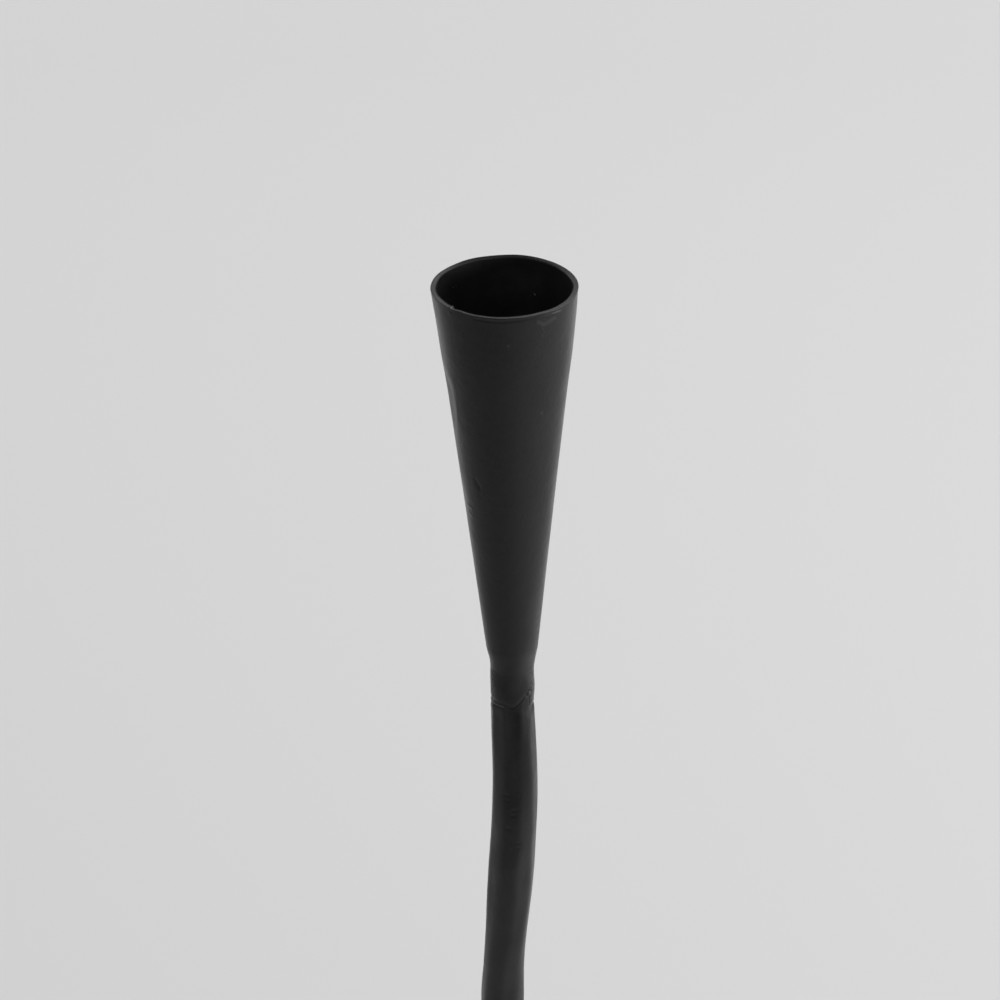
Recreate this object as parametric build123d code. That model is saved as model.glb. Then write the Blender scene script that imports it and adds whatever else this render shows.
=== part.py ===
from build123d import *
import os
from math import cos, sin, pi, radians, degrees

# Square bar of the stem and the foot
bar_side = 10.0              # across the flats
bar_corner_cut = 2.4         # leg of the hammered corner flats

# Spiral foot, wound flat on the floor
coil_pitch = 17.0            # from one turn to the next, middle to middle
coil_inner_radius = 32.0     # middle line of the first half turn
coil_half_turns = 5
hook_radius = 15.0           # tight inner end of the spiral
hook_angle = 150.0
foot_bend_radius = 15.0      # where the bar turns up into the stem
foot_upstand = 14.0          # straight above that bend
tail_length = 62.0           # drawn-out free end
tail_tip_side = 5.0

# Stem
stem_length = 216.0          # from the foot to the neck sleeve
stem_twist = 114.0           # degrees over the whole stem
stem_wave = 1.6              # how far the middle line swings out
stem_wave_length = 136.0
stem_wave_peak = 20.5        # from the sleeve down to the bulge to the right
stem_wave_fade = 70.0        # length over which the wave dies out above the foot
stem_sections = 20

# Neck sleeve with its tenon and pins
neck_diameter = 10.4
neck_length = 15.0
neck_wall = 1.7
tenon_clearance = 0.05
shoulder_length = 2.7        # bevel of the bar's corners below the sleeve
foot_tenon_length = 10.0
pin_diameter = 1.6
pin_clearance = 0.03
neck_pin_height = 4.1        # above the sleeve's lower edge
neck_pin_bearing = -40.0     # degrees from +X, seen from above
foot_pin_drop = 5.0          # below the top of the upstand

# Conical cup
cup_height = 95.4
cup_mouth_diameter = 33.8
cup_wall = 1.3
cup_base_step = 0.95         # cone's lower edge beyond the neck sleeve
cup_side_bow = 0.15          # side hollowed from a straight cone
cup_lean = 1.0               # degrees to the left
rim_round_share = 0.35       # of the wall
seam_width = 1.6
seam_bearing = -138.0        # degrees from +X, seen from above
weld_height = 4.6

# Sizes that follow
half_side = bar_side / 2
corner_radius = (half_side**2 + (half_side - bar_corner_cut) ** 2) ** 0.5
tenon_diameter = neck_diameter - 2 * neck_wall
joint_height = half_side + foot_bend_radius + foot_upstand
neck_height = joint_height + stem_length
neck_radius = neck_diameter / 2
mouth_radius = cup_mouth_diameter / 2
base_radius = neck_radius + cup_base_step
centre_back = coil_pitch / 4


def bar_section(plane, side=bar_side):
    """Square with its corners cut, the shape of the bar across its length."""
    edge = side / 2
    flat = edge - bar_corner_cut * side / bar_side
    corners = [(edge, -flat), (edge, flat), (flat, edge), (-flat, edge)]
    corners += [(-edge, flat), (-edge, -flat), (-flat, -edge), (flat, -edge)]
    return plane * Polygon(*corners, align=None)


# Spiral of half circles about two centres a half pitch apart
def turn_centre(turn):
    return Vector((turn % 2) * coil_pitch / 2, -centre_back, 0)


def turn_radius(turn):
    return coil_inner_radius + turn * coil_pitch / 2


def coil_section(centre, radius, bearing, side=bar_side):
    """Bar section standing on the floor, square to the spiral."""
    out = Vector(cos(radians(bearing)), sin(radians(bearing)), 0)
    along = Vector(-sin(radians(bearing)), cos(radians(bearing)), 0)
    middle = centre + out * radius + Vector(0, 0, side / 2)
    return bar_section(Plane(origin=middle, x_dir=out, z_dir=along), side)


def coil_arc(centre, radius, bearing, sweep_angle):
    face = coil_section(centre, radius, bearing)
    return revolve(face, Axis(centre, (0, 0, 1)), sweep_angle)


def coil_tail():
    """Free end of the bar, drawn out thinner towards its tip."""
    centre = turn_centre(coil_half_turns)
    radius = turn_radius(coil_half_turns)
    bearing = 180 * (coil_half_turns % 2)
    span = degrees(tail_length / radius)
    faces = []
    for share in (0, 0.25, 0.5, 0.75, 1):
        side = bar_side + (tail_tip_side - bar_side) * share**2
        faces.append(coil_section(centre, radius, bearing + share * span, side))
    return loft(faces)


# Place of the stem over the inner end of the spiral
hook_centre = Vector(coil_inner_radius - hook_radius, -centre_back, 0)
hook_out = Vector(cos(radians(hook_angle)), -sin(radians(hook_angle)), 0)
heading = Vector(sin(radians(hook_angle)), cos(radians(hook_angle)), 0)
sideways = Vector(-heading.Y, heading.X, 0)
stem_foot = hook_centre + hook_out * hook_radius - heading * foot_bend_radius
heading_angle = 90 - hook_angle


def upright_plane(height, angle):
    """Level plane on the stem's line, turned to the given angle."""
    x_dir = Vector(cos(radians(angle)), sin(radians(angle)), 0)
    return Plane(origin=stem_foot + Vector(0, 0, height), x_dir=x_dir, z_dir=(0, 0, 1))


foot_pin_line = Plane(
    origin=stem_foot + Vector(0, 0, joint_height - foot_pin_drop), x_dir=heading, z_dir=sideways
)


def make_spiral_foot():
    bend_top = half_side + foot_bend_radius
    level = bar_section(upright_plane(bend_top, heading_angle))
    upstand = extrude(level, foot_upstand)
    bend_middle = stem_foot + heading * foot_bend_radius + Vector(0, 0, bend_top)
    bend = revolve(level, Axis(bend_middle, -sideways), 90)
    foot = upstand + bend
    foot += coil_arc(hook_centre, hook_radius, -hook_angle, hook_angle)
    for turn in range(coil_half_turns):
        foot += coil_arc(turn_centre(turn), turn_radius(turn), 180 * (turn % 2), 180)
    foot += coil_tail()
    socket = Cylinder(
        tenon_diameter / 2 + tenon_clearance,
        foot_tenon_length + tenon_clearance,
        align=(Align.CENTER, Align.CENTER, Align.MAX),
    )
    foot -= upright_plane(joint_height, 0) * socket
    foot -= foot_pin_line * Cylinder(pin_diameter / 2 + pin_clearance, 2 * bar_side)
    return foot.clean()


# Head frame: middle of the sleeve's lower end, leaning with the cup
def wave_offset(drop):
    """Swing of the stem's middle line at a drop below the sleeve."""
    turn = -2 * pi * (drop - stem_wave_peak) / stem_wave_length
    left = min(max((stem_length - drop) / stem_wave_fade, 0), 1)
    swing = stem_wave * left**2 * (3 - 2 * left)
    return Vector(swing * cos(turn), swing * sin(turn), 0)


lean = radians(cup_lean)
head = Plane(
    origin=stem_foot + wave_offset(0) + Vector(0, 0, neck_height),
    x_dir=(cos(lean), 0, sin(lean)),
    z_dir=(-sin(lean), 0, cos(lean)),
)
neck_pin_out = Vector(cos(radians(neck_pin_bearing)), sin(radians(neck_pin_bearing)), 0)
neck_pin_line = head * Plane(origin=(0, 0, neck_pin_height), z_dir=neck_pin_out)


def make_stem():
    """Twisted, waved bar with bevelled corners at the top and a tenon at each end."""
    faces = []
    for step in range(stem_sections):
        height = joint_height + stem_length * step / stem_sections
        angle = heading_angle + stem_twist * step / stem_sections
        swing = wave_offset(neck_height - height)
        faces.append(Pos(swing) * bar_section(upright_plane(height, angle)))
    faces.append(head * bar_section(Plane.XY.rotated((0, 0, heading_angle + stem_twist))))
    stem = loft(faces)
    ring = make_face(
        Polyline(
            (neck_radius, 0),
            (bar_side, 0),
            (bar_side, -shoulder_length),
            (corner_radius, -shoulder_length),
            close=True,
        )
    )
    stem -= head * revolve(Plane.XZ * ring, Axis.Z)
    tenon = Cylinder(tenon_diameter / 2, neck_length, align=(Align.CENTER, Align.CENTER, Align.MIN))
    stem += head * tenon
    foot_tenon = Cylinder(
        tenon_diameter / 2, foot_tenon_length, align=(Align.CENTER, Align.CENTER, Align.MAX)
    )
    stem += upright_plane(joint_height, 0) * foot_tenon
    drill = Cylinder(pin_diameter / 2 + pin_clearance, 2 * bar_side)
    return stem - neck_pin_line * drill - foot_pin_line * drill


def make_neck_ferrule():
    tube = Cylinder(neck_radius, neck_length, align=(Align.CENTER, Align.CENTER, Align.MIN))
    tube -= Cylinder(
        tenon_diameter / 2 + tenon_clearance, neck_length, align=(Align.CENTER, Align.CENTER, Align.MIN)
    )
    drill = Cylinder(pin_diameter / 2 + pin_clearance, 2 * neck_diameter)
    return head * tube - neck_pin_line * drill


def make_pin(line, length):
    return line * Cylinder(pin_diameter / 2, length)


# Cup: rolled cone, its seam and the weld under it
def make_cone():
    middle = (base_radius + mouth_radius) / 2 - cup_side_bow
    outside = ThreePointArc((base_radius, 0), (middle, cup_height / 2), (mouth_radius, cup_height))
    inside = Pos(-cup_wall, 0) * outside
    wall = make_face([outside, Line(outside @ 1, inside @ 1), inside, Line(inside @ 0, outside @ 0)])
    wall = fillet(wall.vertices().sort_by(Axis.Y)[-2:], rim_round_share * cup_wall)
    return revolve(Plane.XZ * wall, Axis.Z)


def make_cup():
    """Rolled sheet with an open joint, and the weld metal that fills the joint."""
    cone = make_cone()
    slot = Box(
        cup_mouth_diameter, seam_width, 2 * cup_height, align=(Align.MIN, Align.CENTER, Align.CENTER)
    )
    slot = Rot(0, 0, seam_bearing) * slot
    place = head * Pos(0, 0, neck_length)
    return place * (cone - slot), place * (cone & slot)


def make_cup_weld():
    fillet_face = make_face(
        Polyline(
            (neck_radius, neck_length - weld_height),
            (base_radius, neck_length),
            (neck_radius, neck_length),
            close=True,
        )
    )
    return head * revolve(Plane.XZ * fillet_face, Axis.Z)


candle_cup, cup_seam_weld = make_cup()
pieces = {
    "candle_cup": candle_cup,
    "cup_seam_weld": cup_seam_weld,
    "cup_weld": make_cup_weld(),
    "neck_ferrule": make_neck_ferrule(),
    "neck_pin": make_pin(neck_pin_line, neck_diameter),
    "stem": make_stem(),
    "foot_pin": make_pin(foot_pin_line, bar_side),
    "spiral_foot": make_spiral_foot(),
}
os.makedirs("parts", exist_ok=True)
for name, piece in pieces.items():
    export_step(piece, f"parts/{name}.step")
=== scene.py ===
import bpy
import numpy as np
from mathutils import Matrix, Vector


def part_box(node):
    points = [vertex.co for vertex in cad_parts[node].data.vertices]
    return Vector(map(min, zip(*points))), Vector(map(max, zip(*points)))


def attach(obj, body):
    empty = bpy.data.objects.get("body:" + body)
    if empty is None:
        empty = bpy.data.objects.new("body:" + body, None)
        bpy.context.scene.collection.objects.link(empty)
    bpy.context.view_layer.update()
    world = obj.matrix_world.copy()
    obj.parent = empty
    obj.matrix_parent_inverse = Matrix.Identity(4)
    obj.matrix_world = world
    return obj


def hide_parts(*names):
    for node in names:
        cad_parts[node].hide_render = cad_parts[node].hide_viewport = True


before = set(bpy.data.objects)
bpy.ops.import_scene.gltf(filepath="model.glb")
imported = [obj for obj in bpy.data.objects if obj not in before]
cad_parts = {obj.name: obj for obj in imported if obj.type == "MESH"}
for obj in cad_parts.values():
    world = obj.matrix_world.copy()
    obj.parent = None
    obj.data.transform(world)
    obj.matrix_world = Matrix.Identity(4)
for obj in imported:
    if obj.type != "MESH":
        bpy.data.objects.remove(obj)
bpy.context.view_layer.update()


# Spiral foot
# One length of 10 mm square iron bar. Its corners are hammered flat, its inner end is turned up to carry the
# stem, and the rest is wound into a flat spiral whose free end is drawn out thinner.
bar_half = 0.005            # middle of the bar to each of its four sides
corner_half = 0.00537       # middle of the bar to each hammered corner
coil_pitch = 0.017
first_turn = 0.032          # radius of the first half turn, on the bar's middle line
half_turns = 5
hook_radius = 0.015
hook_sweep = np.radians(150)
bend_radius = 0.015
tail_length = 0.062
tail_thinning = 0.5         # share of its thickness that the bar loses towards the free end
tip_length = 0.003          # rounded end of the tail
tip_rounding = 0.995
bevel_height = 0.0006       # small bevel where the stem stands on the foot
bevel_share = 0.035
bevel_rings = np.array([0.0, 0.0002, 0.0005])           # down from the top
plain_rings = 0.001         # from here down the rings are a step apart
foot_step = 0.0011
foot_points = 80            # points of a ring
foot_crispness = 16.0       # of the edges between the bar's sides
foot_blows = np.array([0.021, 0.034, 0.055, 0.013])     # wavelengths of the hammering
foot_blow_depth = [0.00008, 0.00016]                    # on the sides and on the corners
foot_wear = 0.08
joint_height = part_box("spiral_foot")[1][2]
coil_back = coil_pitch / 4
up = np.array([0.0, 0.0, 1.0])
heading = np.array([np.sin(hook_sweep), np.cos(hook_sweep), 0.0])
right_hand = np.array([heading[1], -heading[0], 0.0])
hook_centre = np.array([first_turn - hook_radius, -coil_back, 0.0])
hook_out = np.array([np.cos(hook_sweep), -np.sin(hook_sweep), 0.0])
stem_foot = hook_centre + hook_radius * hook_out - bend_radius * heading
# greys of the paint by wear and by painted light and shade, from soot to bare iron
paint_greys = [
    (0.0, (0.002, 0.002, 0.002, 1)),
    (0.25, (0.0115, 0.0115, 0.0114, 1)),
    (0.5, (0.0175, 0.0175, 0.0172, 1)),
    (0.75, (0.039, 0.039, 0.038, 1)),
    (0.92, (0.1, 0.1, 0.097, 1)),
    (1.0, (0.45, 0.45, 0.43, 1)),
]
plain_wear = (0.3, 0.45)    # of paint that nothing has rubbed, from patch to patch
paint_roughness = (0.33, 0.43)
paint_shine = 0.4
soot_shine = 0.03
patch_noise = {"Scale": 90, "Detail": 5}
broad_noise = {"Scale": 320, "Detail": 2}
grain_noise = {"Scale": 1400, "Detail": 3}
noise_range = (0.3, 0.7)    # where most values of a noise lie
broad_relief = {"Strength": 0.5, "Distance": 0.0002}
grain_height = 0.0001


def ease(value, low, high):
    """Even rise from nothing at low to one at high, level beyond; a fall where high is the smaller."""
    return np.clip((value - low) / (high - low), 0, 1)


def wander(along, lengths, phases):
    """Mean of sine waves of the given lengths, each side with its own phases, raised to about -1 to 1."""
    waves = np.sin(2 * np.pi * along[:, None, None] / lengths + phases)
    return waves.mean(axis=2) * 1.6


def hammered_radius(around, facing, distances, crisp):
    """Distance from the middle to the skin of a bar with flat sides.

    Each side faces its own way at its own distance, and the sides meet in rounded edges: the result is the
    reciprocal p-norm of cosine over distance for all the sides. The power p is the crispness of the edges,
    given ring by ring and around.
    """
    share = np.maximum(np.cos(around[None, :, None] - facing[:, None, :]), 0) / distances[:, None, :]
    return (share ** crisp[:, :, None]).sum(axis=2) ** (-1 / crisp)


def skin(name, rings):
    """Closed mesh through rings of points (rings, around, xyz), each end closed by a fan to its middle."""
    count, around = rings.shape[:2]
    points = np.concatenate([rings.reshape(-1, 3), rings[[0, -1]].mean(axis=1)])
    place = np.arange(around)
    beside = (place + 1) % around
    start = around * np.arange(count - 1)[:, None]
    quads = np.stack(
        [start + place, start + beside, start + around + beside, start + around + place], axis=-1
    )
    last_ring = (count - 1) * around
    first = np.stack([np.full(around, count * around), beside, place], axis=-1)
    last = np.stack([np.full(around, count * around + 1), last_ring + place, last_ring + beside], axis=-1)
    mesh = bpy.data.meshes.new(name)
    mesh.from_pydata(points.tolist(), [], quads.reshape(-1, 4).tolist() + first.tolist() + last.tolist())
    mesh.polygons.foreach_set("use_smooth", np.ones(len(mesh.polygons), bool))
    piece = bpy.data.objects.new(name, mesh)
    bpy.context.scene.collection.objects.link(piece)
    return piece


def mark(piece, name, values):
    """Stores one number for each point of a skin's rings; the two fan points get zero."""
    layer = piece.data.attributes.new(name, "FLOAT", "POINT")
    layer.data.foreach_set("value", np.concatenate([values.ravel(), [0, 0]]).astype(np.float32))


def add_node(tree, kind, inputs=None, **settings):
    """Adds a shader node and gives its outputs.

    An input that is another node's output is linked, and any other is set as a value.
    """
    node = tree.nodes.new("ShaderNode" + kind)
    for name, value in settings.items():
        setattr(node, name, value)
    for socket, value in (inputs or {}).items():
        if isinstance(value, bpy.types.NodeSocket):
            tree.links.new(value, node.inputs[socket])
        else:
            node.inputs[socket].default_value = value
    return node.outputs


def stretch(tree, value, source, target, **settings):
    """Carries a node's output from the source range to the target range, level beyond its ends."""
    ranges = dict(zip(["From Min", "From Max", "To Min", "To Max"], [*source, *target]))
    return add_node(tree, "MapRange", {"Value": value, **ranges}, **settings)["Result"]


def ramp(tree, value, stops):
    """Colour that changes evenly with a node's output from stop to stop, each a position and a colour."""
    colour = add_node(tree, "ValToRGB", {"Fac": value})["Color"]
    elements = colour.node.color_ramp.elements
    elements[0].position, elements[0].color = stops[0]
    elements[1].position, elements[1].color = stops[-1]
    for position, stop_colour in stops[1:-1]:
        elements.new(position).color = stop_colour
    return colour


def black_paint(name, grain, sooty):
    """Matte black paint: blacks in soft patches, uneven gloss, and a fine grain on a broader unevenness.

    Two numbers stored on the mesh change it: places are greyer where the paint is worn and where a highlight
    is painted, blacker where shade is painted, and sooty places, on a piece that has them, are duller.
    """
    material = bpy.data.materials.new(name)
    material.use_nodes = True
    tree = material.node_tree
    shader = tree.nodes["Principled BSDF"]
    place = {"Vector": add_node(tree, "TexCoord")["Object"]}
    patches = add_node(tree, "TexNoise", {**place, **patch_noise})["Fac"]
    broad = add_node(tree, "TexNoise", {**place, **broad_noise})["Fac"]
    fine = add_node(tree, "TexNoise", {**place, **grain_noise})["Fac"]
    wear_and_painted_light = add_node(tree, "Attribute", attribute_name="wear_and_painted_light")["Fac"]
    tone_shift = {0: stretch(tree, patches, noise_range, plain_wear), 1: wear_and_painted_light}
    tone = ramp(tree, add_node(tree, "Math", tone_shift, operation="ADD")["Value"], paint_greys)
    gloss = stretch(tree, patches, noise_range, paint_roughness)
    uneven = add_node(tree, "Bump", {"Height": broad, **broad_relief})["Normal"]
    relief = {"Strength": grain, "Distance": grain_height, "Height": fine, "Normal": uneven}
    tree.links.new(tone, shader.inputs["Base Color"])
    tree.links.new(gloss, shader.inputs["Roughness"])
    tree.links.new(add_node(tree, "Bump", relief)["Normal"], shader.inputs["Normal"])
    shader.inputs["Specular IOR Level"].default_value = paint_shine
    if sooty:
        soot = add_node(tree, "Attribute", attribute_name="soot")["Fac"]
        dull = stretch(tree, soot, (0, 1), (paint_shine, soot_shine))
        tree.links.new(dull, shader.inputs["Specular IOR Level"])
    return material


def coil_stations(centre, radius, start, sweep):
    """Points of a level arc a step apart, with the outward direction at each."""
    angle = start + np.arange(0, sweep, foot_step / radius)
    out = np.stack([np.cos(angle), np.sin(angle), 0 * angle], axis=1)
    return centre + radius * out, out


def spiral_bar():
    """Skin of the foot: upstand, quarter bend, hook, half circles about two centres, and drawn-out tail.

    Rings of the bar's section follow the middle line, each with one direction outwards and one upwards.
    """
    plain = np.arange(joint_height - plain_rings, bar_half + bend_radius, -foot_step)
    height = np.concatenate([joint_height - bevel_rings, plain])
    lines = [stem_foot + height[:, None] * up]
    outs = [np.tile(right_hand, (height.size, 1))]
    tops = [np.tile(heading, (height.size, 1))]
    turn = np.arange(0, np.pi / 2, foot_step / bend_radius)[:, None]
    bend_centre = stem_foot + bend_radius * heading + (bar_half + bend_radius) * up
    lines.append(bend_centre - bend_radius * (np.cos(turn) * heading + np.sin(turn) * up))
    outs.append(np.tile(right_hand, (turn.size, 1)))
    tops.append(np.cos(turn) * heading + np.sin(turn) * up)
    arcs = [(hook_centre, hook_radius, -hook_sweep, hook_sweep)]
    for k in range(half_turns + 1):
        centre = np.array([(k % 2) * coil_pitch / 2, -coil_back, 0.0])
        radius = first_turn + k * coil_pitch / 2
        sweep = np.pi if k < half_turns else tail_length / radius
        arcs.append((centre, radius, np.pi * (k % 2), sweep))
    for arc in arcs:
        points, out = coil_stations(*arc)
        lines.append(points + bar_half * up)
        outs.append(out)
        tops.append(np.tile(up, (len(out), 1)))
    line, out, top = (np.concatenate(rows) for rows in (lines, outs, tops))
    along = np.concatenate([[0], np.cumsum(np.linalg.norm(np.diff(line, axis=0), axis=1))])
    drawn = 1 - tail_thinning * ease(along, along[-1] - tail_length, along[-1]) ** 2
    tip = np.sqrt(1 - tip_rounding * ease(along, along[-1] - tip_length, along[-1]) ** 2)
    bevel = 1 - bevel_share * ease(along, bevel_height, 0) ** 2
    line[:, 2] -= bar_half * (1 - drawn)
    chance = np.random.default_rng(7)
    swing = wander(along, foot_blows, chance.uniform(0, 2 * np.pi, (8, 4)))
    distances = np.tile([bar_half, corner_half], 4) + np.tile(foot_blow_depth, 4) * swing
    underside = 6
    distances[:, underside] = bar_half
    around = np.linspace(0, 2 * np.pi, foot_points, endpoint=False)
    facing = np.tile(np.radians(45) * np.arange(8), (along.size, 1))
    radius = hammered_radius(around, facing, distances, np.full((along.size, 1), foot_crispness))
    radius = radius * (drawn * tip * bevel)[:, None]
    return (
        line[:, None]
        + (radius * np.cos(around))[..., None] * out[:, None]
        + (radius * np.sin(around))[..., None] * top[:, None]
    )


bar_paint = black_paint("bar_black_paint", 0.25, sooty=False)
foot_rings = spiral_bar()
spiral_foot = skin("spiral_foot_bar", foot_rings)
mark(spiral_foot, "wear_and_painted_light", np.full(foot_rings.shape[:2], foot_wear))
spiral_foot.data.materials.append(bar_paint)
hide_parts("spiral_foot")
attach(spiral_foot, "root")


# Stem
# The same bar, twisted slowly by hand and left with a gentle wave. A round tenon at each end is hidden in
# the foot and in the neck sleeve. Just under the sleeve one side is hammered flat and has a sharp edge.
stem_length = 0.216
neck_height = joint_height + stem_length
neck_radius = 0.0052
wave = 0.0016
wave_length = 0.136
wave_peak = 0.0205
wave_fade = 0.070
twist_top = np.radians(54)
twist_rate = np.radians(114) / stem_length
lean = np.radians(1.0)
stem_points = 180
stem_top = -0.0045          # drops are measured down from the sleeve, so this is inside it
fine_drop = 0.04            # rings are close together down to here
fine_step = 0.00025
stem_step = 0.0008
end_bevel = 0.02
# greatest radius inside the sleeve, and the drawn-in part of the sleeve's lip as bearing, width and power
limit_in_sleeve = 0.00512
drawn_in_lip = (85, 32, 4)
below_lip = (95, 28, 4)
stem_crispness = 10         # of the edges, with more on the right and at the top
right_crispness, top_crispness, top_crisp_reach = 6, 14, 0.012
drawn_drop, drawn_reach = 0.068, 0.016  # where the edges on the right are as soft as the rest
stem_blows = np.array([0.024, 0.037, 0.060, 0.015])
stem_blow_depth = [0.00006, 0.00014]
blows_from, blows_to = 0.03, stem_length - 0.02         # between these drops the hammering is full
# bows to the left, as how far, at what drop and over what length
stem_bows = [(0.0003, 0.008, 0.013), (0.00015, 0.036, 0.016)]
# upper part: turns of the sides behind in degrees, and shifts of three sides in front
upper_reach = 0.035
side_turns = np.array([-40, -25, -10, 0, 0, 0, 0, 0])
side_shifts = {4: 0.00003, 5: -0.00047, 6: 0.00026}
right_side, right_flat = 7, 0.0004      # flattened down to a drop of 50 mm
right_flat_end = (0.065, 0.05)
rounder_drop, rounder_reach = 0.066, 0.018
rounder_shifts = [0.0001, -0.00022]     # of sides and corners, where the bar is hammered rounder
# directions of the four sides in view, in degrees from the viewer, at drops below the sleeve
side_drop = np.array([0, 5, 10, 18, 31, 42, 55]) / 1000
side_bearings = {
    4: [-46, -46, -45, -46, -50, -53, -56],
    5: [-2, -3, -3, -4, -6, -8, -11],
    6: [34, 30, 22, 22, 29, 33, 34],
    7: [72, 70, 68, 68, 70, 75, 79],
}
# half of the bar's breadth from the front, in millimetres, at drops in millimetres; not used below seen_drop
breadths = [
    (-5, 5.1), (0, 5.14), (3, 5.24), (8, 5.35), (15, 5.4), (27, 5.49), (35, 5.5), (44, 5.62), (52, 5.51),
    (57, 5.33), (63, 5.09), (70, 5.0), (75, 5.02), (79, 5.17), (83, 5.3), (95, 5.3),
]
seen_drop, seen_fade = 0.1, 0.015
# small hammer marks on the front, as bearings and drops
dents = [
    (-27, 0.0229), (-24, 0.0243), (-5, 0.0268), (-6, 0.0281), (-19, 0.0317), (12, 0.0356), (14, 0.0368),
]
dent_depth, dent_width, dent_height = 0.00009, 0.0007, 0.0004
# greyer paint from a little below the sleeve, as the drops where it sets in and where it lessens
upper_greying = 0.22
greying_from, greying_to = (0.005, 0.04), (0.09, 0.16)
# painted highlights on both lit sides, as strength, bearing and width in degrees, down to the drops where
# they end
left_painted_highlight, right_painted_highlight = (0.12, -50, 30), (0.15, 80, 13)
right_highlight_from, side_highlight_end = (0.003, 0.013), (0.14, 0.1)
# painted light and shade on the upper stem, lighter spots and one darker just under the sleeve at the front,
# as strengths, bearings and drops, and how far each reaches in degrees and metres
painted_light_spots = [
    (0.2, -70, 0.033, 20, 0.012), (0.15, -22, 0.005, 15, 0.009), (-0.25, 10, 0.005, 12, 0.009),
    (0.25, 75, 0.018, 15, 0.008), (0.2, 58, 0.058, 12, 0.012),
]
# sharp corner of the bar on the right, just under the sleeve
sharp_corner, corner_bearing, corner_width = 0.0002, 92, 22
corner_drop, corner_reach = 0.0008, 0.0013


def swell(value, middle, width, power=2):
    """Bell curve of height one about a middle; a higher power makes it flatter on top and steeper."""
    return np.exp(-(np.abs((value - middle) / width) ** power))


def stem_swing(drop):
    """Sideways swing of the stem's middle line: a helix that dies out above the foot."""
    turn = -2 * np.pi * (drop - wave_peak) / wave_length
    left = ease(drop, stem_length, stem_length - wave_fade)
    size = wave * left**2 * (3 - 2 * left)
    return np.stack([size * np.cos(turn), size * np.sin(turn), 0 * turn], axis=-1)


head_foot = stem_foot + stem_swing(np.array(0.0)) + neck_height * up
head_axis = np.array([-np.sin(lean), 0.0, np.cos(lean)])
head_right = np.array([np.cos(lean), 0.0, np.sin(lean)])
head_back = np.array([0.0, 1.0, 0.0])


def side_directions(drop, upper):
    """Ways the eight sides face, in radians from +X: an eighth of a turn apart, and turning with the twist.

    In the upper part the sides behind are turned further. Those in view follow their bearings, which ease
    back into the twist below.
    """
    even = np.degrees(twist_top - twist_rate * drop)[:, None] + 45 * np.arange(8)
    facing = even + upper * side_turns
    for side, bearings in side_bearings.items():
        offset = np.array(bearings) + 270 - np.degrees(twist_top - twist_rate * side_drop) - 45 * side
        offset = np.interp(drop, np.append(side_drop, seen_drop), np.append(offset, 0))
        facing[:, side] = even[:, side] + offset
    return np.radians(facing)


def side_distances(drop, upper):
    """Distances of the eight sides from the middle: the bar's, with hammering that fades at both ends."""
    chance = np.random.default_rng(3)
    swing = wander(drop, stem_blows, chance.uniform(0, 2 * np.pi, (8, 4)))
    settle = ease(drop, 0, blows_from) * ease(drop, stem_length, blows_to)
    distances = np.tile([bar_half, corner_half], 4) + np.tile(stem_blow_depth, 4) * swing * settle[:, None]
    for side, shift in side_shifts.items():
        distances[:, side] += upper[:, 0] * shift
    distances[:, right_side] -= right_flat * ease(drop, *right_flat_end)
    return distances + swell(drop, rounder_drop, rounder_reach)[:, None] * np.tile(rounder_shifts, 4)


def neck_limit(deep, bearing):
    """Greatest radius of the bar in and just under the sleeve, so that it shows through the lip nowhere.

    It widens with the drop, is less inside the drawn-in lip on the right, and more just below that lip.
    """
    drawn_in = swell(bearing, *drawn_in_lip) * ease(deep, -0.00008, -0.00048)
    below_it = swell(bearing, *below_lip) * ease(deep, -0.00024, 0.00036)
    return limit_in_sleeve + 0.0018 * ease(deep, 0, 0.009) - 0.0003 * drawn_in + 0.00018 * below_it


def stem_tone(deep, bearing):
    """Greys of the stem's paint: greyer from a little below the sleeve, with painted highlights on both sides
    and painted light and shade at spots.
    """
    greyed = upper_greying * (ease(deep, *greying_from) - 0.65 * ease(deep, *greying_to))
    strength, at, wide = right_painted_highlight
    sides = strength * swell(bearing, at, wide) * ease(deep, *right_highlight_from)
    strength, at, wide = left_painted_highlight
    sides = sides + strength * swell(bearing, at, wide)
    for strength, at, depth, wide, tall in painted_light_spots:
        sides = sides + strength * swell(bearing, at, wide) * swell(deep, depth, tall)
    return greyed + sides * ease(deep, *side_highlight_end)


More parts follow.
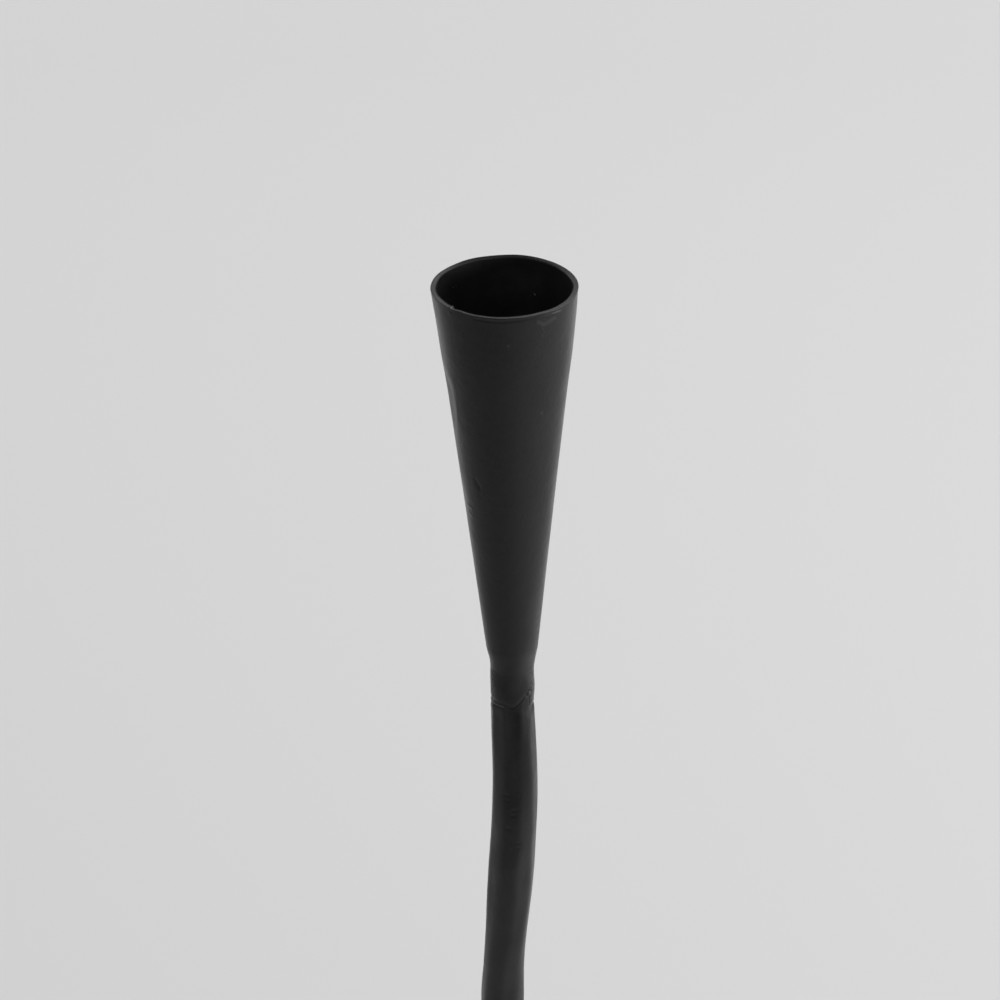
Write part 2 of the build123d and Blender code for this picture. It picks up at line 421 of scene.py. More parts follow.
def twisted_bar():
    """Skin of the stem from the foot up into the sleeve, its eight soft sides turning as they go.

    In its upper part each ring is scaled and shifted so that the bar, seen from the front, has the breadths
    given and stays centred on its line. Also gives how worn each point is, with painted light and shade.
    """
    fine = np.arange(stem_top, fine_drop, fine_step)
    plain = np.arange(fine_drop, stem_length, stem_step)
    drop = np.concatenate([fine, plain, [stem_length - 0.0003, stem_length]])
    deep = drop[:, None]
    line = stem_foot + stem_swing(np.maximum(drop, 0)) + (neck_height - deep) * up
    line[:, 0] += np.minimum(drop, 0) * np.sin(lean)
    for bow, at, length in stem_bows:
        line[:, 0] -= bow * swell(drop, at, length)
    upper = swell(np.maximum(deep, 0), 0, upper_reach)
    around = np.linspace(0, 2 * np.pi, stem_points, endpoint=False)
    bearing = (np.degrees(around) + 270) % 360 - 180
    on_right = ease(bearing, -15, 15) * (1 - swell(deep, drawn_drop, drawn_reach))
    crisp = stem_crispness + right_crispness * on_right + top_crispness * swell(deep, 0, top_crisp_reach)
    radius = hammered_radius(around, side_directions(drop, upper), side_distances(drop, upper), crisp)
    across = radius * np.cos(around)
    half = (across.max(axis=1) - across.min(axis=1)) / 2
    seen = ease(drop, seen_drop, seen_drop - seen_fade)
    breadth = np.interp(1000 * drop, *np.transpose(breadths)) / 1000
    radius = radius * ((breadth / half) ** seen)[:, None]
    radius[-1] *= 1 - end_bevel
    for turn, depth in dents:
        aside = bar_half * (around - np.radians(turn + 270))
        radius = radius - dent_depth * swell(aside, 0, dent_width) * swell(deep, depth, dent_height)
    corner = swell(bearing, corner_bearing, corner_width) * swell(deep, corner_drop, corner_reach)
    radius = np.minimum(radius + sharp_corner * corner, neck_limit(deep, bearing))
    across = radius * np.cos(around)
    line[:, 0] -= seen * (across.max(axis=1) + across.min(axis=1)) / 2
    ring = np.stack([np.cos(around), np.sin(around), 0 * around], axis=1)
    return (line[:, None] + radius[..., None] * ring)[::-1], stem_tone(deep, bearing)[::-1]


stem_rings, stem_wear_and_light = twisted_bar()
stem = skin("stem_twisted_bar", stem_rings)
mark(stem, "wear_and_painted_light", stem_wear_and_light)
stem.data.materials.append(bar_paint)
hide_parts("stem")
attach(stem, "root")


# Foot pin
# Short steel pin driven through the upstand of the foot and the lower tenon of the stem in it. Both its ends
# are filed flush with the bar and painted over.
joint_paint = black_paint("joint_black_paint", 0.3, sooty=True)
foot_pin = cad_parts["foot_pin"]
foot_pin.data.materials.clear()
foot_pin.data.materials.append(joint_paint)


# Neck sleeve
# Short round iron sleeve over the stem's upper tenon. Its lower edge is a little flared and nearly level,
# with one notch where the bar's sharp corner stands up into it. On the right the lip is drawn in.
sleeve_length = 0.015
sleeve_points = 360
# height of the lower edge in millimetres, and greys of the lip, worn and with a painted highlight of the
# edge, by bearing in degrees from the viewer
edge_heights = [
    (-180, 0.5), (-100, 0.7), (-68, 0.85), (-27, 1.0), (0, 0.15), (23, 2.0), (35, 3.3), (43, 3.15),
    (50, 2.9), (53.5, 0.3), (62, 0.45), (75, 0.5), (110, 0.6), (180, 0.5),
]
lip_edge_greys = [
    (-180, 0.05), (-80, 0.1), (-65, 0.46), (-30, 0.44), (-14, 0.2), (-4, 0.0), (5, 0.0), (13, 0.2),
    (28, 0.2), (36, 0.05), (46, -0.1), (53, -0.1), (56, 0.4), (64, 0.5), (80, 0.5), (95, 0.15), (180, 0.05),
]
inside_rise = [0.0006, 0.0002, 0.00004]         # of the three rings inside the lip
inside_radius = np.array([[0.0044], [0.0049], [0.00506]])
drawn_in_depth, drawn_in_length = 0.0002, 0.0025
lip_flare, flare_length = 0.00006, 0.00035
lip_waist, waist_rise, waist_length = 0.0001, 0.001, 0.0006
lip_edge_rise, lip_edge_length = 0.0002, 0.00042
# unevenness of the wall: waves as depth, number around and turn with height; swellings as height, bearing
# and width in degrees, place along the sleeve and length; lumps as bearing and width
wall_waves = [(0.00005, 3, 700), (0.00004, 5, -420)]
wall_swellings = [(0.0002, -85, 40, 0.004, 0.004), (0.0001, 42, 11, 0.0075, 0.003)]
wall_lumps, lump_height = [(-66, 14), (60, 13)], 0.00006
joint_wear = 0.06           # of plain paint on the joints
lit_side_bearing, lit_side_width = 48, 28     # where the joints are painted lighter, a painted highlight on the side that the right lamp lights
slit_bearing, slit_width, slit_shade = 53.5, 1.5, -0.3   # right end of the notch, painted dark as shade in the slit
pin_bearing = np.radians(50)
pin_height = 0.0041
pin_radius = 0.0008
hole_radius = 0.00082
hole_depth = 0.00014
hole_edge = 0.00005         # over which the wall falls to that depth
hole_soot = 0.7
notch_depth = 0.00006       # thinning of the wall over the notch


def head_rings(along, radius, bearing):
    """Points on the leaning head: along its axis, out from it, and at bearings from the viewer."""
    out = np.sin(bearing)[..., None] * head_right - np.cos(bearing)[..., None] * head_back
    return head_foot + along[..., None] * head_axis + radius[..., None] * out


def sleeve_wall(bearing, along):
    """Distance of the sleeve's wall from its axis: round, with sine waves, swellings and fine lumps."""
    turn = np.degrees(bearing)
    radius = neck_radius
    for depth, count, climb in wall_waves:
        radius = radius + depth * np.sin(count * bearing + climb * along)
    for height, at, wide, level, tall in wall_swellings:
        radius = radius + height * swell(turn, at, wide) * swell(along, level, tall)
    lumps = np.sin(23 * bearing + 900 * along) * np.sin(3700 * along + 9 * np.sin(4 * bearing))
    return radius + lump_height * lumps * sum(swell(turn, at, wide) for at, wide in wall_lumps)


def sleeve_skin():
    """Skin of the sleeve: an edge whose height changes around it, a flared lip, a slight waist and the wall.

    Heights above the edge are squeezed towards the top, so the edge can rise and fall around the sleeve.
    About the pin the wall is sunk a little. Also gives how worn each point is, with a painted highlight on
    the right, painted shade in the slit and a painted highlight along the lip's edge, and the soot about the
    pin.
    """
    bearing = np.linspace(-np.pi, np.pi, sleeve_points, endpoint=False)
    turn = np.degrees(bearing)
    edge = np.interp(turn, *np.transpose(edge_heights)) / 1000
    lip_rows = np.arange(0.00005, 0.0055, 0.00012)
    wall_rows = np.linspace(0.0056, sleeve_length, 40)
    rise = np.concatenate([inside_rise, lip_rows, wall_rows])[:, None]
    along = edge + rise * (sleeve_length - edge) / sleeve_length
    from_pin = np.hypot(neck_radius * (bearing - pin_bearing), along - pin_height)
    drawn_in = swell(turn, *drawn_in_lip)
    lip = lip_flare * swell(rise, 0, flare_length) - lip_waist * swell(rise, waist_rise, waist_length)
    lip = lip * (1 - drawn_in) * (1 - 0.8 * swell(turn, 44, 9))
    radius = sleeve_wall(bearing, along) + lip - drawn_in_depth * drawn_in * swell(rise, 0, drawn_in_length)
    radius = radius - hole_depth / (1 + np.exp((from_pin - hole_radius) / hole_edge))
    radius = radius - notch_depth * swell(turn, 46, 7) * swell(rise, 0, 0.0009)
    radius[:3] = inside_radius - drawn_in_depth * drawn_in
    # painted highlight on the lit right side of the sleeve
    lit_side_highlight = swell(turn, lit_side_bearing, lit_side_width) * (0.1 + 0.2 * ease(rise, 0.003, 0.007))
    # painted shade in the slit at the notch's right end
    slit_shading = slit_shade * swell(turn, slit_bearing, slit_width) * ease(along, 0.003, 0.0026)
    # the lip is worn paler, with a painted highlight where its edge catches the light
    lip_wear_and_highlight = np.interp(turn, *np.transpose(lip_edge_greys)) * swell(rise, lip_edge_rise, lip_edge_length)
    soot = hole_soot * swell(from_pin, hole_radius, hole_depth)
    return head_rings(along, radius, bearing), joint_wear + lit_side_highlight + slit_shading + lip_wear_and_highlight, soot


sleeve_rings, sleeve_wear_and_light, sleeve_soot = sleeve_skin()
neck_sleeve = skin("neck_sleeve", sleeve_rings)
mark(neck_sleeve, "wear_and_painted_light", sleeve_wear_and_light)
mark(neck_sleeve, "soot", sleeve_soot)
neck_sleeve.data.materials.append(joint_paint)
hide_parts("neck_ferrule")
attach(neck_sleeve, "root")


# Neck pin
# The same pin through the sleeve and the upper tenon. Its rounded end is a small mark on the right of the
# neck, in a ring where the drilled hole is not quite filled.
pin_half_length = neck_radius + 0.00016
pin_points = 48
pin_wear = 0.36
# rounding of an end, as distances from it and shares of the radius
pin_end = np.array(
    [(0.0, 0.1), (0.00002, 0.4), (0.00006, 0.62), (0.00012, 0.76), (0.0002, 0.86), (0.0004, 1.0)]
)


def pin_skin():
    """Skin of the pin: circles along a line across the neck, smaller at both ends by the table above."""
    depth, share = pin_end.T
    along = np.concatenate([depth - pin_half_length, pin_half_length - depth[::-1]])
    radius = pin_radius * np.concatenate([share, share[::-1]])
    out = np.sin(pin_bearing) * head_right - np.cos(pin_bearing) * head_back
    aside = np.cross(head_axis, out)
    angle = np.linspace(0, 2 * np.pi, pin_points, endpoint=False)
    circle = np.cos(angle)[:, None] * aside + np.sin(angle)[:, None] * head_axis
    middle = head_foot + pin_height * head_axis
    return middle + along[:, None, None] * out + radius[:, None, None] * circle


pin_rings = pin_skin()
neck_pin = skin("neck_pin_rod", pin_rings)
mark(neck_pin, "wear_and_painted_light", np.full(pin_rings.shape[:2], pin_wear))
neck_pin.data.materials.append(joint_paint)
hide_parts("neck_pin")
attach(neck_pin, "root")


# Cup weld
# Fillet of weld metal between the lower end of the cone and the sleeve. It is hollow in profile, and dressed
# nearly smooth before painting.
cup_base_radius = 0.00612
cone_slope = 0.113
weld_low = 0.0092           # heights above the sleeve's lower end
weld_top = 0.0172
weld_sunk_from = 0.0163     # from here up the fillet sinks into the cone
weld_sunk_depth = 0.00012
weld_hollow = 0.006         # height of the hollow curve
weld_cover = 0.00002        # thinnest layer over sleeve and cone
weld_core = 0.0034          # radius of the closing rings
weld_crispness = 80.0
weld_curve = 1.7            # power of the hollow curve
weld_ripple = 0.00004
weld_points, weld_rows = 240, 60
weld_highlight = 0.3


def weld_skin():
    """Skin of the fillet: a hollow curve that leaves the sleeve's wall smoothly and runs into the cone.

    The curve is a power of the height. It and the cone are joined by the reciprocal p-norm, a rounded
    minimum of the two. Also gives how worn each point is, with a painted highlight on the right.
    """
    bearing = np.linspace(-np.pi, np.pi, weld_points, endpoint=False)
    height = np.concatenate([[weld_low], np.linspace(weld_low, weld_top, weld_rows), [weld_top]])
    height, bearing = np.meshgrid(height, bearing, indexing="ij")
    share = (height - weld_low) / weld_hollow
    ripples = np.sin(7 * bearing + 2 * np.sin(3 * bearing))
    ripples = weld_ripple * ripples * np.sin(1500 * height + 1.3 * np.sin(2 * bearing))
    uneven = (sleeve_wall(bearing, height) - neck_radius - weld_cover) * np.clip(1.1 - share, 0, 1)
    hollow = neck_radius + uneven + (cup_base_radius + weld_cover - neck_radius) * share**weld_curve
    hollow = hollow + ripples * np.clip(share, 0, 1) * np.clip(0.8 - share, 0, 1)
    cone = cup_base_radius + cone_slope * (height - sleeve_length)
    radius = (hollow**-weld_crispness + cone**-weld_crispness) ** (-1 / weld_crispness)
    radius = radius - weld_sunk_depth * ease(height, weld_sunk_from, weld_top) ** 2
    radius[[0, -1]] = weld_core
    # painted highlight on the lit right side of the fillet
    wear_and_painted_light = joint_wear + weld_highlight * swell(np.degrees(bearing), lit_side_bearing, lit_side_width)
    return head_rings(height, radius, bearing), wear_and_painted_light


weld_rings, weld_wear_and_light = weld_skin()
cup_weld = skin("cup_weld_fillet", weld_rings)
mark(cup_weld, "wear_and_painted_light", weld_wear_and_light)
cup_weld.data.materials.append(joint_paint)
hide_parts("cup_weld")
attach(cup_weld, "root")


# Candle cup
# Cone rolled from sheet iron a little over 1 mm thick, its seam welded and ground flush on the left of the
# front. The rim is left as cut, with a small step at the seam. There is a crease on the left and a paint run
# on the right.
cup_height = 0.0954
mouth_radius = 0.0169
side_bow = 0.00015
wall = 0.0012
seam = np.radians(-48)
cup_points = 360
front_crowding = 0.35       # how much closer the points of a ring are at the front
# rows of the skin, as first and last share of the cup's height and their number
inside_rows = [(0, 0.88, 18), (0.8824, 0.9976, 49)]
outside_rows = [(1, 0.93, 50), (0.93, 0.445, 65), (0.445, 0.395, 24), (0.395, 0, 52)]
rim_rows = 13
rim_squareness = 0.6        # power of cosine and sine over the rim: one is round, less is squarer
rim_crown, rim_fall = 0.00028, 0.0003   # height of the rim's rounding, and its fall towards the inside
floor_height = 0.0006
floor_core = 0.0002         # radius of the first and the last ring
# swelling all round near the top, and the lower edge rounded in
ring_height, ring_rise, ring_width = 0.00016, 0.84, 0.08
edge_rounding, edge_length = 0.00012, 0.0008
out_of_round = 0.00005
# swellings of the cone, as height, bearing and its width in degrees, share of the cup's height and its width
cone_swellings = [
    (0.00022, -95, 45, 1.0, 0.08), (-0.00022, 85, 40, 1.0, 0.04), (-0.00007, -84, 13, 0.74, 0.08),
]
# flat strip on the left: how deep it cuts, the ways it faces at its two ends, and the shares of the cup's
# height over which it sets in, ends and turns
strip_clear, strip_depth = 1.01, 0.0284
strip_low, strip_high = -71, -81
strip_from, strip_to, strip_turn = (0.58, 0.7), (0.825, 0.775), (0.765, 0.815)
strip_crispness = 400.0
# rim: fall to the back, waves as height, number and phase, bumps as height, bearing and width in degrees
rim_tilt = 0.00007
rim_waves = [(0.00005, 5, 1), (0.00004, 9, 0)]
rim_bumps = [
    (0.0003, -39, 8), (0.00015, -20, 14), (0.0002, 29, 10), (-0.00015, 132, 18), (-0.0001, -136, 16),
]
rim_reach = 8               # power of the height with which the rim's unevenness dies out downwards
# edges of the sheet at the seam, with widths in degrees
edge_width = 1.2
step_left, step_right, step_width = 0.00018, 0.00006, 30
nib_height, nib_width = 0.0003, 1.8
thickening, thickening_width = 0.00016, 45
thin_place = (0.00025, -124, 15)
# marks outside: width in metres, height, added wear, and places by bearing and share of the cup's height
cup_marks = [
    (0.0005, 0.00004, 0.05, [    # crease
        (-66.2, 0.813), (-61.8, 0.803), (-57.2, 0.7845), (-55.5, 0.7525), (-56.5, 0.7355), (-60.3, 0.675),
    ]),
    (0.0004, -0.00006, 0, [(-68, 0.80), (-65, 0.7865)]),    # hollow beside the crease
    (0.0005, 0.00008, 0.26, [(25.5, 0.9785), (30, 0.967), (34.5, 0.971), (40.5, 0.976)]),    # paint run
    (0.00028, 0.00005, 0.06, [(38, 0.991), (47.8, 0.987)]),    # ridge of paint
    (0.0003, 0.00006, 0.2, [(29.8, 0.956)]),    # specks under the run
    (0.0003, 0.00006, 0.2, [(31.3, 0.9465)]),
    (0.0003, 0.00006, 0.2, [(29.5, 0.9395)]),
    (0.0003, 0.00006, 0.5, [(1.8, 0.924)]),    # drips
    (0.0003, 0.00006, 0.5, [(34.2, 0.7195)]),
    (0.00055, -0.00013, -0.25, [(-41.5, 0.521), (-38.2, 0.5115), (-35.8, 0.5015)]),    # gouge
    (0.0005, -0.000052, -0.1, [(-37, 0.483), (-36.5, 0.481)]),
    (0.0003, 0.00008, 0.45, [(-66.2, 0.431), (-54.8, 0.4305)]),    # scratches
    (0.0003, 0.00008, 0.45, [(-64.8, 0.4095), (-56.2, 0.406)]),
    (0.00035, -0.00008, 0, [    # groove under the rim
        (-24, 0.991), (-9.5, 0.9895), (14.8, 0.992), (47.2, 0.9945), (70, 0.996),
    ]),
]
# grit on the inside, and painted highlights on the lit sides of the outside, in the columns of the swellings
grit = {
    (153.1, 0.9088): 0.4, (155.8, 0.9136): 0.14, (157.1, 0.904): 0.1,
    (-128.4, 0.9496): 0.5, (-132.2, 0.9496): 0.35,
}
grit_size = 0.00022
cup_wear = 0.05
cup_painted_highlights = [(0.3, 58, 28, 0.06, 0.26), (0.4, 74, 18, 0.945, 0.09), (0.4, -66, 13, 0.88, 0.13)]
inside_wear, depth_wear = 0.36, 0.11
# soot at the back of the rim; painted shade that darkens two sides of the inside, as strength, bearing and
# width; and the depths of the soot
rim_soot_bearing, rim_soot_width, rim_soot_wear = -172, 56, 0.2
shaded_inner_sides = [(0.9, -100, 60), (0.35, 100, 40)]
soot_rise = (1, 0.95)       # shares of the height between which it sets in
soot_least = 0.3


def apart(bearing, at):
    """Degrees from a given bearing, between -180 and 180."""
    return (np.degrees(bearing) - at + 180) % 360 - 180


def near(bearing, rise, places, width):
    """Bell curve of the distance to a line through places on the cone, or to a single place."""
    reach = (cup_base_radius + (mouth_radius - cup_base_radius) * rise) * np.radians(1)
    nearest = 1.0
    for (b1, u1), (b2, u2) in zip(places, places[1:] or places):
        x, y = apart(bearing, b1) * reach, (rise - u1) * cup_height
        dx, dy = (b2 - b1) * reach, (u2 - u1) * cup_height
        share = np.clip((x * dx + y * dy) / np.maximum(dx**2 + dy**2, 1e-12), 0, 1)
        nearest = np.minimum(nearest, np.hypot(x - share * dx, y - share * dy))
    return swell(nearest, 0, width)


def bump(bearing, at, wide, rise=0, height=0, tall=1):
    """Bell curve about a bearing in degrees and, where it is given, about a share of the cup's height."""
    return swell(apart(bearing, at), 0, wide) * swell(rise, height, tall)


def cone_radius(bearing, rise):
    """Outside of the cone without its marks: a straight line hollowed by a parabola, a little out of round.

    A flat strip on the left is a plane joined to the round by the reciprocal p-norm, a rounded minimum of
    the two. There are fine lumps low on the right.
    """
    radius = cup_base_radius + (mouth_radius - cup_base_radius) * rise - 4 * side_bow * rise * (1 - rise)
    radius = radius + ring_height * swell(rise, ring_rise, ring_width)
    radius = radius - edge_rounding * np.exp(-rise * cup_height / edge_length)
    for out, at, wide, height, tall in cone_swellings:
        radius = radius + out * bump(bearing, at, wide, rise, height, tall)
    radius = radius + out_of_round * (np.sin(2 * bearing + 0.6) + np.sin(3 * bearing + 5 * rise)) * rise
    flat = ease(rise, *strip_from) * ease(rise, *strip_to)
    facing = np.radians(strip_low + (strip_high - strip_low) * ease(rise, *strip_turn))
    plane = (strip_clear - strip_depth * flat) / np.maximum(np.cos(bearing - facing), 0.2)
    radius = radius * (1 + plane**-strip_crispness) ** (-1 / strip_crispness)
    lumps = np.sin(31 * bearing + 60 * rise) * np.sin(330 * rise + 9 * np.sin(5 * bearing))
    return radius + lump_height * lumps * bump(bearing, 66, 12, rise, 0.1, 0.14)


def rim_height(bearing):
    """Height of the rim over an even cut: sine waves, a nib and a step at the seam, and a few bumps."""
    from_seam = apart(bearing, np.degrees(seam))
    left_edge = np.tanh(-from_seam / edge_width)
    step = np.where(left_edge > 0, step_left, step_right) * left_edge
    rim = -rim_tilt * (1 - np.cos(bearing))
    for height, count, phase in rim_waves:
        rim = rim + height * np.sin(count * bearing + phase)
    rim = rim + nib_height * swell(from_seam, 0, nib_width) + step * swell(from_seam, 0, step_width)
    for height, at, wide in rim_bumps:
        rim = rim + height * bump(bearing, at, wide)
    return rim


def sheet_thickness(bearing):
    """Thickness of the sheet: more on the left of the seam, less on its right, least at one place behind."""
    from_seam = apart(bearing, np.degrees(seam))
    uneven = thickening * np.tanh(-from_seam / edge_width) * swell(from_seam, 0, thickening_width)
    thinning, at, wide = thin_place
    return wall + uneven - thinning * bump(bearing, at, wide)


def cup_skin():
    """Skin of the cup from the middle of its floor up the inside, over the rim and down the outside.

    Each ring has a share of the height, a place across the sheet, from nothing outside to one inside, and on
    the rim the height of a squared half circle. Also gives how worn and how sooty each point is, with painted
    highlights on the outside and painted shade inside.
    """
    around = np.linspace(-np.pi, np.pi, cup_points, endpoint=False)
    bearing = around - front_crowding * np.sin(around)
    inside = np.concatenate([[0.0]] + [np.linspace(*rows) for rows in inside_rows])
    outside = np.concatenate([np.linspace(*rows)[1:] for rows in outside_rows] + [[0.0]])
    over = np.linspace(0, np.pi, rim_rows)
    over_rim = 0.5 + 0.5 * np.sign(np.cos(over)) * np.abs(np.cos(over)) ** rim_squareness

    def ring_by_ring(on_inside, on_rim, on_outside):
        return np.concatenate([0 * inside + on_inside, on_rim, 0 * outside + on_outside])[:, None]

    rise = ring_by_ring(inside, np.ones(rim_rows), outside)
    across = ring_by_ring(1, over_rim, 0)
    crown = ring_by_ring(0, np.sin(over) ** rim_squareness, 0)
    on_rim = ring_by_ring(0, np.ones(rim_rows), 0)
    outer = across < 0.5
    rim_back = swell(apart(bearing, rim_soot_bearing), 0, rim_soot_width, 4) * on_rim
    marks, wear_and_painted_light = 0, cup_wear - rim_soot_wear * rim_back
    for width, height, tone_shift, places in cup_marks:
        touched = near(bearing, rise, places, width)
        marks, wear_and_painted_light = marks + height * touched, wear_and_painted_light + tone_shift * touched
    # painted highlights: the cone is made lighter low on the right and along both upper edges
    for tone_shift, at, wide, height, tall in cup_painted_highlights:
        wear_and_painted_light = wear_and_painted_light + tone_shift * bump(bearing, at, wide, rise, height, tall)
    radius = cone_radius(bearing, rise) + marks * outer - sheet_thickness(bearing) * across
    radius[[0, -1]] = floor_core
    along = sleeve_length + cup_height * rise + rim_height(bearing) * rise**rim_reach
    along = along - (rim_crown * (1 - crown) + rim_fall * across) * on_rim
    along[:2] += floor_height
    depth = ease(rise, *soot_rise)
    soot = np.where(outer, 0, soot_least + (1 - soot_least) * depth * (2 - depth)) * (1 - on_rim) + rim_back
    # painted shade: the inside is made darker on the left and, less, on the right
    unshaded = 1 - sum(strength * bump(bearing, at, wide) for strength, at, wide in shaded_inner_sides)
    inner = (inside_wear + depth_wear * depth) * unshaded
    for place, strength in grit.items():
        inner = inner + strength * near(bearing, rise, [place], grit_size)
    return head_rings(along, radius, bearing), np.where(outer | (on_rim > 0), wear_and_painted_light, inner), soot


cup_paint = black_paint("cup_black_paint", 0.2, sooty=True)
cup_rings, cup_wear_and_light, cup_soot = cup_skin()
candle_cup = skin("candle_cup_cone", cup_rings)
mark(candle_cup, "wear_and_painted_light", cup_wear_and_light)
mark(candle_cup, "soot", cup_soot)
candle_cup.data.materials.append(cup_paint)
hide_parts("candle_cup")
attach(candle_cup, "root")


# Cup seam weld
# Bead of weld metal that fills the open joint of the rolled cone. It is ground almost flush outside and left
# proud, in small ripples, inside.
seam_half_width = 0.0008
seam_points = 40
seam_sunk = 0.00002         # below the sheet outside
seam_nib = 0.00006          # raised end at the rim
seam_proud = 0.00022        # above the sheet inside
seam_ripple, seam_ripple_length = 0.00006, 0.0017
seam_ends = [0.3, 0.8, 0.8, 0.3]        # size of the two first and two last rings
side_squareness, face_squareness = 0.6, 0.5


def seam_skin():
    """Skin of the bead: a squared oval across the joint, as deep as the sheet, carried up along the cone."""
    rise = np.concatenate([[0.004, 0.0045], np.linspace(0.005, 0.99, 330), [0.9925, 0.9935]])[:, None]
    oval = np.linspace(0, 2 * np.pi, seam_points, endpoint=False)
    size = np.ones(rise.shape)
    size[[0, 1, -2, -1], 0] = seam_ends
    outer = cone_radius(seam, rise) - seam_sunk + seam_nib * ease(rise, 0.978, 0.99)
    depth = wall + seam_proud + seam_ripple * np.sin(2 * np.pi * rise * cup_height / seam_ripple_length)
    sideways = seam_half_width * np.sign(np.cos(oval)) * np.abs(np.cos(oval)) ** side_squareness
    through = np.sign(np.sin(oval)) * np.abs(np.sin(oval)) ** face_squareness / 2 - 0.5
    radius = outer + depth * size * through - depth * (1 - size) / 2
    return head_rings(sleeve_length + cup_height * rise, radius, seam + size * sideways / outer)


cup_seam = skin("cup_seam_bead", seam_skin())
cup_seam.data.materials.append(cup_paint)
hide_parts("cup_seam_weld")
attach(cup_seam, "root")


# Stage
# Pale seamless floor, a broad soft light on the right, a weaker one behind on the left and one overhead,
# towards the back. Floor and room are pale to the camera, and dimmer in the object's reflections, most on
# the viewer's side.
floor_size, floor_gap = 12, 0.0001
floor_roughness, floor_shine = 0.9, 0.1
pale = 0.68                 # brightness of the room and the distant floor, as the camera sees them
# grey of the floor in reflections: a product of four shares, each with the range that it changes over
floor_lean = (0.6, 0.8, 0.0)            # way in which the first share grows
floor_across = (-0.48, -0.23), (0.23, 0.505)
floor_near = (0.1, 0.33), (0.6, 1.0)    # by distance from the foot: painted shade of the foot, seen only in reflections
floor_right = (0.335, 0.435), (1.45, 1.05)
floor_bearings = [                      # by bearing from the viewer, in degrees
    (-180, 1.5), (-140, 1.12), (-122, 0.67), (-95, 0.68), (-70, 0.89), (-30, 0.94), (0, 0.91), (70, 0.89),
    (88, 0.81), (122, 0.82), (142, 1.16), (180, 1.7),
]
floor_seen = (0.19, 0.97), (0.76, 0.695)        # grey for the camera, from near to far
haze_middle, haze_shape = (0.0, -0.35, 0.0), (2.2, 1.0, 1.0)
haze_reach = (0.72, 1.7)                # from here outwards the floor fades into the room
room_glow = (-0.9, 0.9), (0.06, 0.48)   # strength of the room's light, from the viewer's side to the back


def pale_floor():
    """Floor paint: one grey for the camera and another, a product of four shares, for reflections.

    Far out, the camera sees it fade smoothly into the brightness of the room.
    """
    material = bpy.data.materials.new("pale_floor")
    material.use_nodes = True
    tree = material.node_tree
    shader = tree.nodes["Principled BSDF"]
    shader.inputs["Roughness"].default_value = floor_roughness
    shader.inputs["Specular IOR Level"].default_value = floor_shine
    ray = add_node(tree, "LightPath")
    place = add_node(tree, "TexCoord")["Object"]
    back = add_node(tree, "SeparateXYZ", {"Vector": place})["Y"]
    aside = add_node(tree, "VectorMath", {0: place, 1: floor_lean}, operation="DOT_PRODUCT")["Value"]
    distance = add_node(tree, "VectorMath", {0: place}, operation="LENGTH")["Value"]
    to_viewer = add_node(tree, "Mapping", {"Vector": place, "Scale": (1.0, -1.0, 1.0)})["Vector"]
    to_viewer = add_node(tree, "SeparateXYZ", {"Vector": to_viewer})
    bearing = add_node(tree, "Math", {0: to_viewer["X"], 1: to_viewer["Y"]}, operation="ARCTAN2")["Value"]
    stops = [(turn / 360 + 0.5, (share, share, share, 1)) for turn, share in floor_bearings]
    mirrored = stretch(tree, aside, *floor_across)
    for share in [
        stretch(tree, distance, *floor_near),
        ramp(tree, stretch(tree, bearing, (-np.pi, np.pi), (0, 1)), stops),
        stretch(tree, to_viewer["X"], *floor_right),
    ]:
        mirrored = add_node(tree, "Math", {0: mirrored, 1: share}, operation="MULTIPLY")["Value"]
    shades = {"Factor": ray["Is Glossy Ray"], "A": stretch(tree, back, *floor_seen), "B": mirrored}
    tree.links.new(add_node(tree, "Mix", shades, data_type="RGBA")["Result"], shader.inputs["Base Color"])
    spread = {"Vector": place, "Location": haze_middle, "Scale": haze_shape}
    spread = add_node(tree, "Mapping", spread)["Vector"]
    outward = add_node(tree, "VectorMath", {0: spread}, operation="LENGTH")["Value"]
    far = stretch(tree, outward, haze_reach, (0, 1), interpolation_type="SMOOTHSTEP")
    haze = add_node(tree, "Math", {0: far, 1: ray["Is Camera Ray"]}, operation="MULTIPLY")["Value"]
    distant = add_node(tree, "Emission", {"Strength": pale})["Emission"]
    blend = add_node(tree, "MixShader", {"Fac": haze, 1: shader.outputs["BSDF"], 2: distant})["Shader"]
    tree.links.new(blend, tree.nodes["Material Output"].inputs["Surface"])
    return material


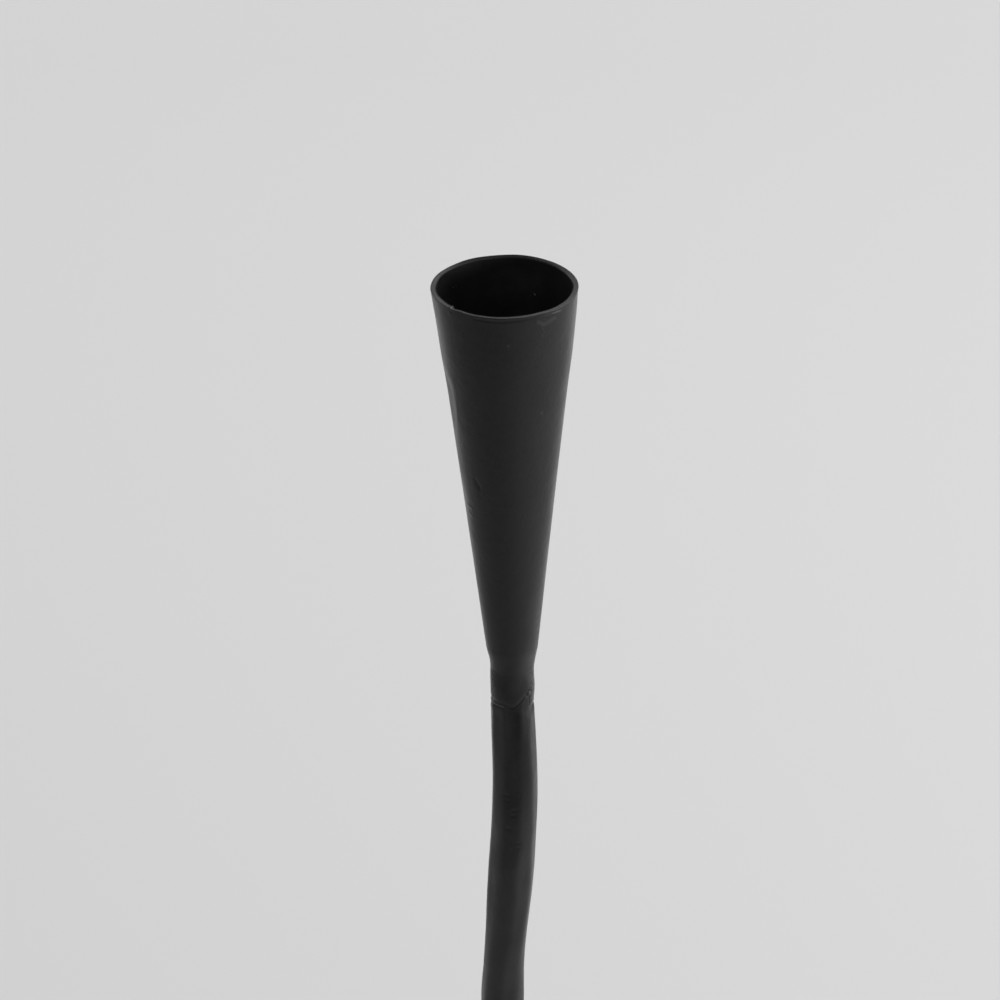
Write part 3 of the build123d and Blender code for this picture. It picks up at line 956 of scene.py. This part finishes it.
def dim_room():
    """World: white light growing evenly from the viewer's side to the back, and a pale grey to the camera."""
    world = bpy.data.worlds.new("studio")
    world.use_nodes = True
    tree = world.node_tree
    background = tree.nodes["Background"]
    background.inputs["Color"].default_value = (1.0, 1.0, 1.0, 1)
    direction = add_node(tree, "TexCoord")["Generated"]
    back = add_node(tree, "SeparateXYZ", {"Vector": direction})["Y"]
    to_camera = add_node(tree, "LightPath")["Is Camera Ray"]
    strength = {"Factor": to_camera, "A": stretch(tree, back, *room_glow), "B": pale}
    tree.links.new(add_node(tree, "Mix", strength)["Result"], background.inputs["Strength"])
    return world


def soft_light(name, place, aim, wide, tall, watts):
    """Rectangular light at a place, facing the aim point."""
    lamp = bpy.data.lights.new(name, "AREA")
    lamp.shape = "RECTANGLE"
    lamp.size = wide
    lamp.size_y = tall
    lamp.energy = watts
    light = bpy.data.objects.new(name, lamp)
    bpy.context.scene.collection.objects.link(light)
    light.location = place
    forward = np.array(aim) - np.array(place)
    light.rotation_euler = Vector(forward).to_track_quat("-Z", "Y").to_euler()
    light.visible_camera = False


bpy.ops.mesh.primitive_plane_add(size=floor_size, location=(0, 0, -floor_gap))
floor = bpy.context.object
floor.name = "floor"
floor.data.materials.append(pale_floor())
bpy.context.scene.world = dim_room()
soft_light("right_panel", (1.6, -0.2, 0.36), (0, 0, 0.25), 1.2, 0.6, 15)
soft_light("left_panel", (-1.1, 1.3, 0.8), (0, 0, 0.25), 0.8, 1.4, 4.0)
soft_light("top_panel", (0.7, 1.2, 2.3), (0.4, 1.0, 0), 1.8, 1.8, 40)

# camera, aimed at the cup from above
pitch = np.radians(28.65)
picture_width = 1000        # pixels
focal_pixels = 4444.0       # focal length, in pixels of the picture
pixel = 0.2335e-3           # metres in a pixel at the aim point
sensor_width = 36           # millimetres
aim = stem_foot + neck_height * up + np.array([-9.5 * pixel, 0.0013, 0.0548])
camera_data = bpy.data.cameras.new("photo_camera")
camera_data.sensor_width = sensor_width
camera_data.lens = focal_pixels / picture_width * sensor_width
camera = bpy.data.objects.new("photo_camera", camera_data)
bpy.context.scene.collection.objects.link(camera)
camera.location = aim - focal_pixels * pixel * np.array([0, np.cos(pitch), -np.sin(pitch)])
camera.rotation_euler = (np.pi / 2 - pitch, 0, 0)
bpy.context.scene.camera = camera
bpy.context.scene.view_settings.view_transform = "Standard"
